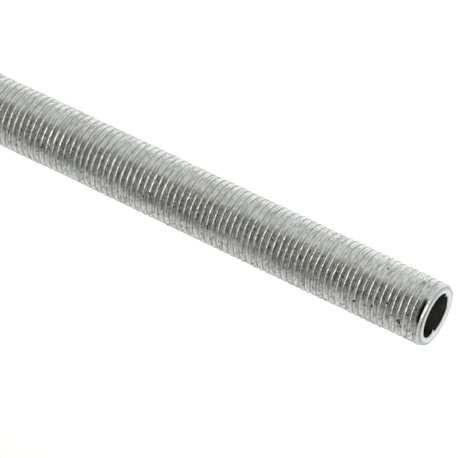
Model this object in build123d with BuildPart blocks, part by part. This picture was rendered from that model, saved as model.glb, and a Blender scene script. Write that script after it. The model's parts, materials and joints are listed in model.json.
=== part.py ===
from build123d import *
import os

# Threaded lamp tube: a plain steel tube, threaded M10 x 1 over its whole
# length, with a through bore for the lamp's flex. It is one turned piece.
# It lies along X, with +Z up. The origin is on the tube's axis, half way
# along it.
#
# The outside is the cylinder that the thread's crests lie on. The thread
# itself is a fine one (pitch 1 mm, 0.5 mm deep), so it is not cut here.

# ---- driving dimensions, mm ----
length = 150.0             # end face to end face
crest_diameter = 9.8       # M10 x 1, external thread at the low end of 6g
bore_diameter = 6.8        # through bore
end_chamfer = 0.5          # outer edge at each end, as deep as the thread
mouth_deburr = 0.2         # inner edge at each end

crest_radius = crest_diameter / 2
bore_radius = bore_diameter / 2

with BuildPart() as threaded_tube:
    # ring section, drawn across the axis at the -X end
    with BuildSketch(Plane.YZ.offset(-length / 2)) as section:
        Circle(crest_radius)
        Circle(bore_radius, mode=Mode.SUBTRACT)
    extrude(amount=length)
    # the round edges of the two end faces: four circles, two of each radius
    end_faces = threaded_tube.faces().filter_by(Axis.X)
    end_edges = end_faces.edges().filter_by(GeomType.CIRCLE)
    by_radius = end_edges.group_by(SortBy.RADIUS)
    outer_edges = by_radius[-1]
    mouth_edges = by_radius[0]
    # lead-in for a nut, cut down to the thread's root
    chamfer(outer_edges, length=end_chamfer)
    # the sharp inner edge taken off, so that it can't cut the flex
    chamfer(mouth_edges, length=mouth_deburr)

threaded_tube.part.label = "threaded_tube"
os.makedirs("parts", exist_ok=True)
export_step(threaded_tube.part, "parts/threaded_tube.step")
box = threaded_tube.part.bounding_box()
print("size", box.size.X, box.size.Y, box.size.Z)
print("volume mm3", threaded_tube.part.volume)
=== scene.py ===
import json
import math

import bpy
import numpy as np
from mathutils import Matrix, Vector


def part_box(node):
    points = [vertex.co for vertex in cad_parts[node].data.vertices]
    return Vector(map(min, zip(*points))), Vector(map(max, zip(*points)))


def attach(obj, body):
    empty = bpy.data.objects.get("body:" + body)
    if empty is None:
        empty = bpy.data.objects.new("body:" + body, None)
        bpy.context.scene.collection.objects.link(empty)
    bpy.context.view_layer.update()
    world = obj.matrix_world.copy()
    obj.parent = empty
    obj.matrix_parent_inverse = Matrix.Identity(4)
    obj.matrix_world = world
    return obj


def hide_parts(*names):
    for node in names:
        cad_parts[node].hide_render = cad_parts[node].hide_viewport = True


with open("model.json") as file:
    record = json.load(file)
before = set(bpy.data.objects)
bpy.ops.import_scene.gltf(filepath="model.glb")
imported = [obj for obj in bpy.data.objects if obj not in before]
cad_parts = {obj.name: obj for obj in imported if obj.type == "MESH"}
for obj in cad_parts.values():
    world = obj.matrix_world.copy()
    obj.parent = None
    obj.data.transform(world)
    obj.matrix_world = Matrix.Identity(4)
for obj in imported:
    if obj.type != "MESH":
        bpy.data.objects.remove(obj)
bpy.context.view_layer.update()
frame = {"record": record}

# ---------------------------------------------------------------- sizes, mm
node_lo, node_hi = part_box("threaded_tube")
mounts = {m["name"]: m for m in frame["record"]["mounts"]}
HALF = node_hi.x * 1000                      # half the length
CREST = min(node_hi.y, node_hi.z) * 1000     # crests stay inside the CAD box
BORE = mounts["flex_bore"]["dims"]["r_mm"]
PITCH = 1.0
DEPTH = 0.513                                # M10 x 1, crest 9.8 to root 8.77
CHAMFER = 0.5
FACE = CREST - CHAMFER                       # outer radius of the end face
DEBURR = 0.2

# darker stains: x, angle, half length, half width (mm), how much
STAINS = [
    (71.55, 171.8, 0.27, 0.42, 1),
    (71.30, 167.0, 0.20, 0.28, 1),
    (71.85, 175.0, 0.22, 0.25, 1),
    (64.14, 169.0, 0.24, 0.24, 1),
    (65.95, 166.5, 0.20, 0.28, 1),
    (66.98, 161.5, 0.20, 0.36, 1),
    (67.55, 157.8, 0.18, 0.32, 1),
    (66.62, 87.3, 0.26, 0.22, 1),
    (72.20, 75.5, 0.35, 0.50, 0.45),
    (73.30, 80.0, 0.35, 0.45, 0.45),
    (71.40, 70.0, 0.30, 0.45, 0.40),
    (52.0, 165.0, 9.0, 0.95, 0.40),
    (33.0, 164.0, 12.0, 1.00, 0.42),
    (12.0, 163.0, 10.0, 0.90, 0.38),
    (-28.0, 162.0, 14.0, 0.90, 0.34),
    (-45.0, 30.0, 10.0, 0.80, 0.35),
    (25.0, -50.0, 12.0, 0.80, 0.35),
]

# stretches where the crests are worn flat: x, angle, half length, half width (mm), how much
FLATS = [
    (58.0, 101.0, 10.0, 2.2, 0.9),
    (42.0, 166.0, 19.0, 0.9, 1.0),
    (8.0, 164.0, 12.0, 0.8, 0.8),
    (-20.0, 120.0, 9.0, 2.0, 0.8),
    (-52.0, 20.0, 14.0, 1.6, 0.9),
    (30.0, -60.0, 16.0, 1.4, 0.9),
]

# burrs left round each mouth: angle and half width in degrees, reach into the bore (mm)
BURRS = {
    1: [(28.4, 5, 0.42), (34, 4, -0.14), (-98.5, 6, 0.66), (-101, 24, 0.26), (-24, 14, -0.14), (-58, 12, -0.10), (90, 30, -0.12)],
    -1: [(60, 7, 0.45), (190, 9, 0.35), (-30, 12, 0.18), (120, 10, 0.14)],
}

# thread profile over one pitch: (distance from the crest's middle, depth)
PROFILE = [
    (0.00, 0.000), (0.08, 0.010), (0.18, 0.090), (0.35, 0.390), (0.42, 0.490),
    (0.50, 0.513), (0.58, 0.490), (0.66, 0.380), (0.81, 0.092), (0.91, 0.010),
]
PHASE = 0.50     # where the crests fall, mm
NA = 60          # columns round the tube
NP = len(PROFILE)
END_ZONE = 1.3   # the last stretch at each end is made of plain rings
END_RINGS = 26
MOUTH = 3        # mouth segments for each column
LAND = 0.18      # the narrow land between chamfer and face

# dents and nicks in the thread: x, angle in degrees, half length, half width, depth (mm)
DENTS = [
    (71.57, 170.5, 0.55, 0.45, 0.30),
    (64.14, 169.5, 0.35, 0.40, 0.22),
    (65.93, 167.0, 0.30, 0.35, 0.22),
    (66.98, 160.9, 0.30, 0.30, 0.20),
    (67.57, 157.6, 0.30, 0.30, 0.18),
    (66.35, 87.3, 0.22, 0.25, 0.22),
    (72.30, 76.0, 0.45, 0.50, 0.16),
    (73.30, 80.0, 0.35, 0.40, 0.14),
    (59.55, 130.3, 0.60, 0.60, 0.16),
    (55.20, 172.0, 0.80, 0.50, 0.18),
    (49.00, 166.0, 0.70, 0.45, 0.16),
    (40.50, 174.0, 0.60, 0.45, 0.20),
    (31.00, 120.0, 0.40, 0.50, 0.14),
    (12.00, 150.0, 0.50, 0.50, 0.18),
    (-9.00, 100.0, 0.45, 0.50, 0.16),
    (-38.0, 60.00, 0.60, 0.60, 0.20),
    (-61.0, 145.0, 0.50, 0.50, 0.18),
    (58.0, -35.0, 0.60, 0.60, 0.20),
    (20.0, 10.0, 0.60, 0.50, 0.18),
    (-30.0, -80.0, 0.60, 0.60, 0.20),
]


# ---------------------------------------------------------------- noise
def _hash(i, j, k, seed):
    h = (i * 374761393 + j * 668265263 + k * 2147483647 + seed * 1274126177) & 0xFFFFFFFF
    h = ((h ^ (h >> 13)) * 1274126177) & 0xFFFFFFFF
    h = ((h ^ (h >> 16)) * 2246822519) & 0xFFFFFFFF
    return ((h ^ (h >> 15)) & 0xFFFFFF) / float(0xFFFFFF)


def vnoise(p, scale, seed):
    """Smooth value noise, 0 to 1, at points p (n x 3, mm), with cells of that many mm."""
    q = p / scale
    i0 = np.floor(q).astype(np.int64)
    f = q - i0
    f = f * f * (3 - 2 * f)
    out = np.zeros(len(p))
    for dx in (0, 1):
        for dy in (0, 1):
            for dz in (0, 1):
                w = (
                    (f[:, 0] if dx else 1 - f[:, 0])
                    * (f[:, 1] if dy else 1 - f[:, 1])
                    * (f[:, 2] if dz else 1 - f[:, 2])
                )
                out += w * _hash(i0[:, 0] + dx, i0[:, 1] + dy, i0[:, 2] + dz, seed)
    return out


# ---------------------------------------------------------------- thread
prof_u = np.array([u for u, _ in PROFILE] + [1.0])
prof_d = np.array([d for _, d in PROFILE] + [PROFILE[0][1]])


def blob(x, theta, at, deg, half_x, half_arc):
    """1 in the middle of a worn patch, falling to 0 outside it."""
    arc = (theta - math.radians(deg) + math.pi) % (2 * math.pi) - math.pi
    q = ((x - at) / half_x) ** 2 + (CREST * arc / half_arc) ** 2
    return np.exp(-q * q)


def surface_radius(x, theta):
    """Radius of the outside at x (mm) and theta, with the wear of the real surface."""
    p = np.stack([x, CREST * np.cos(theta), CREST * np.sin(theta)], axis=1)
    ring = p * np.array([1.0, 0.22, 0.22])     # alike along each thread, unlike its neighbour
    u = (x - PHASE - PITCH * theta / (2 * math.pi)) / PITCH
    u = u + (vnoise(ring, 0.9, 7) - 0.5) * 0.05
    u = u - np.floor(u)
    depth = np.interp(u, prof_u, prof_d) * PITCH
    # crests are worn flat in patches, and nicked here and there
    fine = vnoise(p, 0.75, 2)
    patch = np.clip((vnoise(p, 5.5, 1) - 0.52) / 0.3, 0, 1)
    for at, deg, half_x, half_arc, share in FLATS:
        patch = np.maximum(patch, share * blob(x, theta, at, deg, half_x, half_arc))
    cut = 0.004 + 0.045 * np.clip(fine - 0.40, 0, 1) + 0.040 * np.clip(vnoise(ring, 0.85, 8) - 0.45, 0, 1)
    cut = cut + patch * (0.04 + 0.06 * vnoise(p, 1.4, 4))
    cut = cut + np.clip((vnoise(p, 0.62, 5) - 0.78) / 0.15, 0, 1) * 0.14
    # the odd dent
    for at, deg, half_x, half_arc, deep in DENTS:
        cut = np.maximum(cut, deep * blob(x, theta, at, deg, half_x, half_arc) * (0.6 + 0.8 * fine))
    depth = np.maximum(depth, cut)
    # flanks and roots are a little uneven
    depth = depth + (vnoise(p, 0.55, 3) - 0.5) * 0.060 * np.clip(depth / 0.2, 0, 1)
    depth = np.maximum(depth, 0.0)
    # cutting smeared the last half turn over
    arc = (theta - np.where(x > 0, math.radians(142), math.radians(-60)) + math.pi) % (2 * math.pi) - math.pi
    collar = np.clip((np.abs(x) - (HALF - 0.66)) / 0.14, 0, 1) * np.clip((math.radians(75) - np.abs(arc)) / 0.4, 0, 1)
    depth = depth + (np.minimum(depth, 0.05) - depth) * collar
    r = CREST - depth
    # lead-in chamfer
    edge = (vnoise(p, 1.1, 6) - 0.5) * 0.05
    r = np.minimum(r, FACE + (HALF - np.abs(x)) + edge)
    return np.minimum(r, CREST)


def build_tube():
    verts, faces = [], []
    inner = HALF - END_ZONE
    angles = 2 * math.pi * np.arange(NA) / NA
    offsets = np.array([u for u, _ in PROFILE]) * PITCH

    # helical part: columns of points that follow the thread
    first, count, base = [], [], []
    xs, ths = [], []
    total = 0
    for a in range(NA):
        shift = PHASE + PITCH * a / NA
        m_lo = int(math.floor((-inner - shift) / PITCH)) * NP - NP
        m = np.arange(m_lo, m_lo + int(2 * inner / PITCH + 4) * NP)
        x = shift + PITCH * np.floor_divide(m, NP) + offsets[np.mod(m, NP)]
        keep = (x > -inner + 0.02) & (x < inner - 0.02)
        m, x = m[keep], x[keep]
        first.append(int(m[0]))
        count.append(len(m))
        base.append(total)
        total += len(m)
        xs.append(x)
        ths.append(np.full(len(x), angles[a]))
    x = np.concatenate(xs)
    th = np.concatenate(ths)
    r = surface_radius(x, th)
    verts.append(np.stack([x, r * np.cos(th), r * np.sin(th)], axis=1))

    def vid(a, m):
        """Index of the point m of column a, or None past its ends. Column NA is column 0 one turn on."""
        if a == NA:
            a, m = 0, m + NP
        k = m - first[a]
        return base[a] + k if 0 <= k < count[a] else None

    # the column's own end points, by side
    for a in range(NA):
        b = a + 1
        lo = first[a]
        hi = first[a] + count[a] - 1
        lo_b = first[b % NA] - (NP if b == NA else 0)
        hi_b = lo_b + count[b % NA] - 1
        for m in range(max(lo, lo_b), min(hi, hi_b)):
            faces.append((vid(a, m), vid(b, m), vid(b, m + 1), vid(a, m + 1)))
        # a column that starts or ends one or more points earlier: fan
        for m in range(lo, lo_b):
            faces.append((vid(a, m), vid(b, lo_b), vid(a, m + 1)))
        for m in range(lo_b, lo):
            faces.append((vid(a, lo), vid(b, m), vid(b, m + 1)))
        for m in range(min(hi, hi_b), hi):
            faces.append((vid(a, m), vid(b, hi_b), vid(a, m + 1)))
        for m in range(min(hi, hi_b), hi_b):
            faces.append((vid(a, hi), vid(b, m), vid(b, m + 1)))

    last_of = [base[a] + count[a] - 1 for a in range(NA)]
    first_of = [base[a] for a in range(NA)]

    # each end: plain rings out to the face, then the face, mouth and bore
    def add(points):
        nonlocal total
        start = total
        verts.append(points)
        total += len(points)
        return start

    mouth_start = {}
    for side in (1, -1):
        ring_start = []
        for k in range(END_RINGS + 1):
            xk = side * (inner + (END_ZONE - LAND) * k / END_RINGS)
            xx = np.full(NA, xk)
            rr = surface_radius(xx, angles)
            ring_start.append(
                add(np.stack([xx, rr * np.cos(angles), rr * np.sin(angles)], axis=1))
            )
        edge = last_of if side == 1 else first_of
        for a in range(NA):
            b = (a + 1) % NA
            quads = [(edge[a], edge[b], ring_start[0] + b, ring_start[0] + a)]
            for k in range(END_RINGS):
                s0, s1 = ring_start[k], ring_start[k + 1]
                quads.append((s0 + a, s0 + b, s1 + b, s1 + a))
            for q in quads:
                faces.append(q if side == 1 else q[::-1])
        # face annulus, with three mouth points for each column
        nm = NA * MOUTH
        mang = 2 * math.pi * np.arange(nm) / nm
        c = np.stack([np.zeros(nm), np.cos(mang), np.sin(mang)], axis=1)
        p = c * 10 + np.array([side * 50.0, 0, 0])
        rag = (vnoise(p * 1.0, 1.3, 11) - 0.5) * 0.10 + (vnoise(p, 0.45, 12) - 0.5) * 0.08
        for at, wide, out in BURRS[side]:
            arc = (mang - math.radians(at) + math.pi) % (2 * math.pi) - math.pi
            tent = np.clip(1 - np.abs(arc) / math.radians(wide), 0, 1)
            rag = rag - out * (tent if wide < 9 else tent * tent * (3 - 2 * tent))
        lift = (vnoise(p, 0.9, 13) - 0.5) * 0.03
        rows = [
            (FACE + LAND - 0.008, HALF - LAND + 0.014, 0.15),
            (FACE + LAND - 0.014, HALF - 0.085, 0.15),
            (FACE + LAND - 0.018, HALF - 0.030, 0.15),
            (FACE + LAND - 0.040, HALF - 0.005, 0.15),
            (FACE + LAND - 0.100, HALF, 0.20),
            (BORE + DEBURR + 0.30, HALF, 0.3),
            (BORE + DEBURR, HALF - 0.01, 0.5),
            (BORE + 0.05, HALF - DEBURR * 0.8, 1.0),
            (BORE, HALF - DEBURR - 0.12, 0.9),
            (BORE, HALF - DEBURR - 0.5, 0.1),
            (BORE, HALF - 3.0, 0.0),
        ]
        starts = []
        for rad, at, share in rows:
            rr = rad + rag * share
            rr = np.maximum(rr, BORE - 0.75)
            xx = np.minimum(at + lift * share, HALF)
            starts.append(
                add(np.stack([side * xx, rr * np.cos(mang), rr * np.sin(mang)], axis=1))
            )
        outer = ring_start[-1]
        for a in range(NA):
            b = (a + 1) % NA
            i = [starts[0] + (a * MOUTH + k) % nm for k in range(MOUTH + 1)]
            mid = MOUTH // 2
            tri = []
            for k in range(MOUTH):
                if k <= mid:
                    if k < mid:
                        tri.append((outer + a, i[k + 1], i[k]))
                    else:
                        tri.append((outer + a, outer + b, i[k + 1], i[k]))
                else:
                    tri.append((outer + b, i[k + 1], i[k]))
            for t in tri:
                faces.append(t if side == 1 else t[::-1])
        for s0, s1 in zip(starts, starts[1:]):
            for k in range(nm):
                n = (k + 1) % nm
                q = (s0 + k, s0 + n, s1 + n, s1 + k)
                faces.append(q if side == 1 else q[::-1])
        mouth_start[side] = starts[-1]
    nm = NA * MOUTH
    for k in range(nm):
        n = (k + 1) % nm
        faces.append((mouth_start[1] + k, mouth_start[1] + n, mouth_start[-1] + n, mouth_start[-1] + k))

    co = np.concatenate(verts) * 0.001
    mesh = bpy.data.meshes.new("lamp_tube")
    mesh.from_pydata(co.tolist(), [], faces)
    mesh.validate()
    mesh.update()
    return mesh


mesh = build_tube()
tube = bpy.data.objects.new("lamp_tube", mesh)
bpy.context.scene.collection.objects.link(tube)
mesh.polygons.foreach_set("use_smooth", [True] * len(mesh.polygons))


# ---------------------------------------------------------------- materials
def steel_material():
    mat = bpy.data.materials.new("zinc_plated_steel")
    mat.use_nodes = True
    nt = mat.node_tree
    n, l = nt.nodes, nt.links
    bsdf = n["Principled BSDF"]
    coord = n.new("ShaderNodeTexCoord")
    mm = n.new("ShaderNodeVectorMath")
    mm.operation = "SCALE"
    mm.inputs["Scale"].default_value = 1000.0
    l.new(coord.outputs["Object"], mm.inputs[0])
    pos = mm.outputs["Vector"]
    sep = n.new("ShaderNodeSeparateXYZ")
    l.new(pos, sep.inputs[0])

    def calc(op, *args):
        m = n.new("ShaderNodeMath")
        m.operation = op
        for k, v in enumerate(args):
            if isinstance(v, (int, float)):
                m.inputs[k].default_value = v
            else:
                l.new(v, m.inputs[k])
        return m.outputs[0]

    def noise(scale, detail, rough=0.5, vector=None):
        t = n.new("ShaderNodeTexNoise")
        t.inputs["Scale"].default_value = scale
        t.inputs["Detail"].default_value = detail
        t.inputs["Roughness"].default_value = rough
        l.new(vector or pos, t.inputs["Vector"])
        return t.outputs["Fac"]

    def step(src, lo, hi, a=0.0, b=1.0):
        m = n.new("ShaderNodeMapRange")
        m.interpolation_type = "SMOOTHSTEP"
        m.inputs["From Min"].default_value = lo
        m.inputs["From Max"].default_value = hi
        m.inputs["To Min"].default_value = a
        m.inputs["To Max"].default_value = b
        l.new(src, m.inputs["Value"])
        return m.outputs["Result"]

    def ramp(src, stops):
        r = n.new("ShaderNodeValToRGB")
        r.color_ramp.elements[0].position, r.color_ramp.elements[0].color = stops[0]
        r.color_ramp.elements[1].position, r.color_ramp.elements[1].color = stops[-1]
        for at, col in stops[1:-1]:
            e = r.color_ramp.elements.new(at)
            e.color = col
        l.new(src, r.inputs["Fac"])
        return r.outputs["Color"]

    def mix(kind, fac, a, b):
        m = n.new("ShaderNodeMix")
        m.data_type = "RGBA"
        m.blend_type = kind
        if isinstance(fac, (int, float)):
            m.inputs["Factor"].default_value = fac
        else:
            l.new(fac, m.inputs["Factor"])
        for k, v in ((6, a), (7, b)):
            if isinstance(v, tuple):
                m.inputs[k].default_value = v
            else:
                l.new(v, m.inputs[k])
        return m.outputs[2]

    # distance from the axis, and from the nearer end
    y, z = sep.outputs["Y"], sep.outputs["Z"]
    radius = calc("SQRT", calc("ADD", calc("MULTIPLY", y, y), calc("MULTIPLY", z, z)))
    inward = calc("SUBTRACT", HALF, calc("ABSOLUTE", sep.outputs["X"]))

    # marks that run round the tube, left by the rolls
    drawn = n.new("ShaderNodeVectorMath")
    drawn.operation = "MULTIPLY"
    drawn.inputs[1].default_value = (7.0, 0.55, 0.55)
    l.new(pos, drawn.inputs[0])
    marks = noise(1.0, 3.0, 0.6, drawn.outputs["Vector"])

    fine = noise(4.2, 4.0, 0.65)
    wander = noise(0.9, 2.0, 0.5)
    turn = calc("DIVIDE", calc("ARCTAN2", z, y), 2 * math.pi)
    u = calc("SUBTRACT", calc("SUBTRACT", sep.outputs["X"], PHASE), calc("MULTIPLY", turn, PITCH))
    u = calc("ADD", u, calc("MULTIPLY", calc("SUBTRACT", wander, 0.5), 0.35))
    off = calc("ABSOLUTE", calc("SUBTRACT", calc("FRACT", calc("ADD", u, 0.5)), 0.5))
    seam = calc("MULTIPLY", step(off, 0.08, 0.03), step(radius, 4.70, 4.80))
    seam = calc("MULTIPLY", seam, step(noise(0.55, 2.0, 0.5), 0.36, 0.52))
    mid = noise(1.3, 3.0, 0.55)
    broad = noise(0.22, 2.0, 0.5)
    speck = noise(6.5, 2.0, 0.5)
    spot = noise(1.9, 2.0, 0.6)

    colour = ramp(
        fine,
        [(0.30, (0.74, 0.74, 0.73, 1)), (0.46, (0.88, 0.88, 0.875, 1)), (0.70, (0.94, 0.945, 0.945, 1))],
    )
    # the plating's cast drifts between bluish and olive
    colour = mix("MULTIPLY", 1.0, colour, ramp(broad, [(0.35, (0.985, 0.993, 1.0, 1)), (0.65, (1.0, 1.0, 0.975, 1))]))
    # dirt speckled over the same side
    dirt = calc("MULTIPLY", step(noise(1.7, 3.0, 0.65), 0.46, 0.36), step(y, -2.6, -4.2))
    dirt = calc("MULTIPLY", dirt, step(noise(0.45, 2.0, 0.5), 0.38, 0.58, 0.35, 1.0))
    colour = mix("MULTIPLY", dirt, colour, (0.45, 0.45, 0.43, 1))
    # streaks along the thread
    colour = mix("MULTIPLY", step(marks, 0.50, 0.34), colour, (0.66, 0.66, 0.65, 1))
    # dull patches
    colour = mix("MULTIPLY", step(mid, 0.50, 0.66), colour, (0.90, 0.90, 0.89, 1))
    # crests are rubbed dull
    rub = step(radius, 4.77, 4.84)
    colour = mix("MULTIPLY", rub, colour, (0.80, 0.80, 0.795, 1))
    # the thread is grainy on the same side, and painted shade darkens it in a band there, fading further round, most
    # of all on its flanks
    grain_and_painted_shade = calc("MULTIPLY", step(noise(3.6, 2.0, 0.7), 0.50, 0.38), step(y, -1.3, -2.3))
    grain_and_painted_shade = calc("MULTIPLY", grain_and_painted_shade, step(radius, 4.88, 4.80, 0.55, 1.0))
    grain_and_painted_shade = calc("MULTIPLY", grain_and_painted_shade, step(y, -3.5, -4.3, 1.0, 0.25))
    colour = mix("MULTIPLY", grain_and_painted_shade, colour, (0.42, 0.42, 0.41, 1))
    # dark pinholes, mostly on the side that was lowest in the bath
    low = step(y, -2.2, -4.0, 0.25, 1.0)
    pits = calc("MULTIPLY", step(speck, 0.36, 0.30), step(mid, 0.44, 0.58))
    pits = calc("MAXIMUM", pits, calc("MULTIPLY", calc("MULTIPLY", step(spot, 0.36, 0.30), step(broad, 0.34, 0.46)), low))
    colour = mix("MIX", pits, colour, (0.10, 0.10, 0.095, 1))
    colour = mix("MIX", calc("MULTIPLY", seam, 0.7), colour, (0.30, 0.30, 0.29, 1))
    # darker marks: the grime packed in the last groove, the stained streak along one side, and the dirt in each dent
    stain = packed = None
    # the point on the crests' cylinder straight above, so that a mark reaches down into the grooves
    wall = n.new("ShaderNodeCombineXYZ")
    l.new(sep.outputs["X"], wall.inputs["X"])
    l.new(calc("MULTIPLY", calc("DIVIDE", y, radius), CREST), wall.inputs["Y"])
    l.new(calc("MULTIPLY", calc("DIVIDE", z, radius), CREST), wall.inputs["Z"])
    for at, deg, half_x, half_arc, much in STAINS:
        c = (at, CREST * math.cos(math.radians(deg)), CREST * math.sin(math.radians(deg)))
        d = n.new("ShaderNodeVectorMath")
        d.operation = "SUBTRACT"
        d.inputs[1].default_value = c
        l.new(wall.outputs["Vector"], d.inputs[0])
        q = n.new("ShaderNodeVectorMath")
        q.operation = "MULTIPLY"
        q.inputs[1].default_value = (1 / half_x, 1 / half_arc, 1 / half_arc)
        l.new(d.outputs["Vector"], q.inputs[0])
        f = n.new("ShaderNodeVectorMath")
        f.operation = "LENGTH"
        l.new(q.outputs["Vector"], f.inputs[0])
        m = calc("MULTIPLY", step(f.outputs["Value"], 1.15, 0.55), much)
        if much == 1:
            packed = m if packed is None else calc("MAXIMUM", packed, m)
        else:
            stain = m if stain is None else calc("MAXIMUM", stain, m)
    blotch = step(fine, 0.58, 0.42)
    stain = calc("MULTIPLY", stain, calc("ADD", calc("MULTIPLY", blotch, 0.55), 0.45))
    # grime packed in the last groove, on one side
    q = calc("DIVIDE", calc("SUBTRACT", calc("SUBTRACT", sep.outputs["X"], turn), 73.79), 0.30)
    e = calc("DIVIDE", calc("SUBTRACT", turn, 0.365), 0.068)
    groove = calc("SQRT", calc("ADD", calc("MULTIPLY", q, q), calc("MULTIPLY", e, e)))
    packed = calc("MAXIMUM", packed, step(groove, 1.1, 0.8))
    stain = calc("MAXIMUM", stain, packed)
    colour = mix("MIX", stain, colour, (0.08, 0.08, 0.078, 1))
    # cut end: bright steel; bore: dark scale, with painted shade that leaves it near-black just inside the mouth and
    # deeper in, and lighter between
    lip = calc("MULTIPLY", step(radius, BORE + 0.50, BORE + 0.32), step(inward, 0.26, 0.19))
    end = calc("MAXIMUM", step(inward, 0.07, 0.02), lip)
    colour = mix("MIX", end, colour, ramp(fine, [(0.3, (0.80, 0.81, 0.82, 1)), (0.7, (0.93, 0.935, 0.94, 1))]))
    # the chamfer was cut too
    bevel = calc("MULTIPLY", step(inward, 0.56, 0.46), step(radius, 4.2, 4.4))
    colour = mix("MIX", calc("MULTIPLY", bevel, 0.55), colour, (0.82, 0.83, 0.84, 1))
    # the face is duller towards its outer edge
    margin = calc("MULTIPLY", step(radius, 3.95, 4.20), step(inward, 0.05, 0.02))
    margin = calc("MULTIPLY", margin, step(fine, 0.62, 0.40, 0.55, 1.0))
    colour = mix("MULTIPLY", margin, colour, (0.56, 0.57, 0.59, 1))
    # painted dark reflection on the edge between chamfer and face
    land_dark_reflection = calc("MULTIPLY", step(inward, 0.02, 0.05), step(inward, 0.22, 0.17))
    land_dark_reflection = calc("MULTIPLY", land_dark_reflection, step(radius, 4.1, 4.3))
    colour = mix("MIX", calc("MULTIPLY", land_dark_reflection, 0.75), colour, (0.36, 0.36, 0.36, 1))
    hole = step(radius, BORE + 0.45, BORE + 0.30)
    hole = calc("MULTIPLY", hole, step(inward, 0.22, 0.30))
    # painted shade: near-black just inside the mouth and from 2.6 mm in, dark grey from 0.7 to 2.3 mm
    scale = ramp(
        calc("DIVIDE", inward, 5.0),
        [(0.06, (0.02, 0.02, 0.02, 1)), (0.14, (0.15, 0.15, 0.14, 1)), (0.46, (0.15, 0.15, 0.14, 1)), (0.52, (0.03, 0.03, 0.03, 1))],
    )
    colour = mix("MIX", hole, colour, scale)
    l.new(colour, bsdf.inputs["Base Color"])

    rough = calc("ADD", step(fine, 0.3, 0.7, 0.09, 0.18), step(mid, 0.45, 0.7, 0.0, 0.08))
    rough = calc("ADD", rough, calc("MULTIPLY", rub, 0.24))
    rough = calc("ADD", rough, calc("MULTIPLY", pits, 0.3))
    rough = calc("ADD", rough, calc("MULTIPLY", end, 0.32))
    rough = calc("ADD", rough, calc("MULTIPLY", hole, 0.4))
    l.new(rough, bsdf.inputs["Roughness"])
    l.new(calc("SUBTRACT", 1.0, calc("MULTIPLY", end, 0.55)), bsdf.inputs["Metallic"])

    height = calc("ADD", calc("MULTIPLY", fine, 0.45), calc("MULTIPLY", marks, 0.6))
    height = calc("ADD", height, calc("MULTIPLY", mid, 1.0))
    height = calc("SUBTRACT", height, calc("MULTIPLY", pits, 0.5))
    height = calc("SUBTRACT", height, calc("MULTIPLY", seam, 0.6))
    bump = n.new("ShaderNodeBump")
    bump.inputs["Strength"].default_value = 0.7
    bump.inputs["Distance"].default_value = 0.00010
    l.new(height, bump.inputs["Height"])
    l.new(bump.outputs["Normal"], bsdf.inputs["Normal"])
    return mat


steel = steel_material()
mesh.materials.append(steel)
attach(tube, "root")
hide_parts("threaded_tube")

# ---------------------------------------------------------------- floor
fm = bpy.data.meshes.new("floor")
s = 3.0
z = node_lo.z
fm.from_pydata([(-s, -s, z), (s, -s, z), (s, s, z), (-s, s, z)], [], [(0, 1, 2, 3)])
floor = bpy.data.objects.new("floor", fm)
bpy.context.scene.collection.objects.link(floor)
fmat = bpy.data.materials.new("floor_white")
fmat.use_nodes = True
fb = fmat.node_tree.nodes["Principled BSDF"]
fb.inputs["Roughness"].default_value = 0.9
fb.inputs["Emission Color"].default_value = (1, 1, 1, 1)
# painted light: the floor's colour and glow are brighter behind, as if lit from behind, and fall off to the front
where = fmat.node_tree.nodes.new("ShaderNodeTexCoord")
part = fmat.node_tree.nodes.new("ShaderNodeSeparateXYZ")
fmat.node_tree.links.new(where.outputs["Object"], part.inputs[0])


def across(stops, socket):
    """Set a socket by how far back (mm) the floor is."""
    lo, hi = stops[0][0], stops[-1][0]
    m = fmat.node_tree.nodes.new("ShaderNodeMapRange")
    m.inputs["From Min"].default_value = lo / 1000
    m.inputs["From Max"].default_value = hi / 1000
    fmat.node_tree.links.new(part.outputs["Y"], m.inputs["Value"])
    r = fmat.node_tree.nodes.new("ShaderNodeValToRGB")
    e = r.color_ramp.elements
    e[0].position, e[0].color = 0, (stops[0][1],) * 3 + (1,)
    e[1].position, e[1].color = 1, (stops[-1][1],) * 3 + (1,)
    for at, v in stops[1:-1]:
        e.new((at - lo) / (hi - lo)).color = (v, v, v, 1)
    fmat.node_tree.links.new(m.outputs["Result"], r.inputs["Fac"])
    fmat.node_tree.links.new(r.outputs["Color"], fb.inputs[socket])


across([(-60, 0.45), (-12, 0.80), (100, 0.80)], "Base Color")
across([(-60, 0.06), (-30, 0.06), (-13, 0.17), (-8, 0.25), (-5, 0.50), (20, 0.50), (100, 0.52)], "Emission Strength")
# over-exposed to the camera, as studio paper is
glow = fmat.node_tree.nodes.new("ShaderNodeEmission")
glow.inputs["Strength"].default_value = 0.64
both = fmat.node_tree.nodes.new("ShaderNodeAddShader")
pick = fmat.node_tree.nodes.new("ShaderNodeMixShader")
ray = fmat.node_tree.nodes.new("ShaderNodeLightPath")
fl = fmat.node_tree.links
fl.new(fb.outputs[0], both.inputs[0])
fl.new(glow.outputs[0], both.inputs[1])
fl.new(ray.outputs["Is Camera Ray"], pick.inputs[0])
fl.new(fb.outputs[0], pick.inputs[1])
fl.new(both.outputs[0], pick.inputs[2])
fl.new(pick.outputs[0], fmat.node_tree.nodes["Material Output"].inputs["Surface"])
fm.materials.append(fmat)

# ---------------------------------------------------------------- light
world = bpy.data.worlds.new("studio")
bpy.context.scene.world = world
world.use_nodes = True


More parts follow.
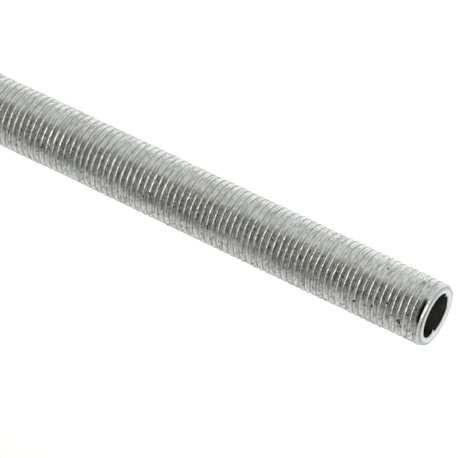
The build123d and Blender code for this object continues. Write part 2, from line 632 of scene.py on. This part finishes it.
def studio_world(nt):
    """A white studio: a large soft light from overhead to behind the tube and another off its +X end, with the unlit side of the room low on the -Y side. The camera itself sees a plain white backdrop."""
    n, l = nt.nodes, nt.links
    n.clear()
    out = n.new("ShaderNodeOutputWorld")
    coord = n.new("ShaderNodeTexCoord")
    sep = n.new("ShaderNodeSeparateXYZ")
    l.new(coord.outputs["Generated"], sep.inputs[0])
    x, y, z = sep.outputs["X"], sep.outputs["Y"], sep.outputs["Z"]

    def calc(op, *args):
        m = n.new("ShaderNodeMath")
        m.operation = op
        for k, v in enumerate(args):
            if isinstance(v, (int, float)):
                m.inputs[k].default_value = v
            else:
                l.new(v, m.inputs[k])
        return m.outputs[0]

    def step(src, lo, hi):
        m = n.new("ShaderNodeMapRange")
        m.interpolation_type = "SMOOTHSTEP"
        m.inputs["From Min"].default_value = lo
        m.inputs["From Max"].default_value = hi
        l.new(src, m.inputs["Value"])
        return m.outputs["Result"]

    # angle up from the -Y horizon, over the top to the +Y horizon, 0 to 1
    phi = calc("ARCTAN2", calc("MAXIMUM", z, 0.0), calc("MULTIPLY", y, -1.0))
    phi = calc("DIVIDE", phi, math.pi)

    def cast(at, v):
        """Half the brightness, warm overhead and cool towards the back."""
        k = min(max((at - 110) / 35, 0), 1)
        return (v / 2 * (1.0 - 0.025 * k), v / 2 * (1.0 - 0.003 * k), v / 2 * (0.94 + 0.065 * k), 1)

    def arc(stops):
        r = n.new("ShaderNodeValToRGB")
        e = r.color_ramp.elements
        e[0].position, e[0].color = stops[0][0] / 180, cast(*stops[0])
        e[1].position, e[1].color = stops[-1][0] / 180, cast(*stops[-1])
        for at, v in stops[1:-1]:
            e.new(at / 180).color = cast(at, v)
        l.new(phi, r.inputs["Fac"])
        return r.outputs["Color"]

    def mix(fac, a, b):
        m = n.new("ShaderNodeMix")
        m.data_type = "RGBA"
        l.new(fac, m.inputs["Factor"])
        l.new(a, m.inputs[6])
        l.new(b, m.inputs[7])
        return m.outputs[2]

    level = arc(ROOM[0][1])
    for (x0, _), (x1, stops) in zip(ROOM, ROOM[1:]):
        level = mix(step(x, x0, x1), level, arc(stops))
    light = n.new("ShaderNodeBackground")
    light.inputs["Strength"].default_value = 2.0
    l.new(level, light.inputs["Color"])
    seen = n.new("ShaderNodeBackground")
    path = n.new("ShaderNodeLightPath")
    ms = n.new("ShaderNodeMixShader")
    l.new(path.outputs["Is Camera Ray"], ms.inputs[0])
    l.new(light.outputs[0], ms.inputs[1])
    l.new(seen.outputs[0], ms.inputs[2])
    l.new(ms.outputs[0], out.inputs["Surface"])


# how bright the room is: for each place along X, -1 to 1, a list of brightness by
# degrees up from the -Y horizon and over the top
ROOM = [
    (-0.95, [(30, 0.42), (90, 0.54), (150, 0.76)]),
    (-0.74, [(15, 0.44), (75, 0.37), (105, 0.70), (135, 0.77), (150, 0.74), (170, 0.70)]),
    (-0.40, [(8, 0.20), (30, 0.27), (60, 0.22), (84, 0.27), (91, 0.78), (130, 0.82), (150, 0.76), (165, 0.60), (180, 1.35)]),
    (0.00, [(5, 0.04), (45, 0.03), (60, 0.05), (84, 0.15), (91, 0.74), (125, 0.77), (150, 0.72), (165, 0.57), (180, 1.35)]),
    (0.40, [(8, 0.08), (40, 0.13), (62, 0.22), (84, 0.38), (91, 0.62), (130, 0.64), (175, 0.90)]),
    (0.68, [(15, 1.45), (78, 1.40), (88, 0.60), (130, 0.50), (175, 0.70)]),
    (0.90, [(15, 1.65), (78, 1.50), (88, 0.68), (165, 0.62)]),
    (0.97, [(15, 1.60), (90, 1.50), (165, 1.50)]),
]
studio_world(world.node_tree)
bpy.context.scene.view_settings.view_transform = "Standard"

# ---------------------------------------------------------------- camera
AZ, EL = math.radians(33.15), math.radians(46.9)
LENS, SENSOR, DIST = 295.0, 36.0, 0.528
back = Vector((math.sin(AZ) * math.cos(EL), -math.cos(AZ) * math.cos(EL), math.sin(EL)))
right = Vector((math.cos(AZ), math.sin(AZ), 0.0))
up = back.cross(right)
per_px = SENSOR / 458 / LENS * DIST
target = (
    Vector((node_hi.x, 0, 0))
    - right * ((436.5 - 229) * per_px)
    + up * ((316.3 - 229) * per_px)
)
cam_data = bpy.data.cameras.new("camera")
cam_data.sensor_width = SENSOR
cam_data.lens = LENS
cam_data.clip_start, cam_data.clip_end = 0.01, 20
cam = bpy.data.objects.new("camera", cam_data)
bpy.context.scene.collection.objects.link(cam)
cam.matrix_world = Matrix.Translation(target + back * DIST) @ Matrix((right, up, back)).transposed().to_4x4()
bpy.context.scene.camera = cam
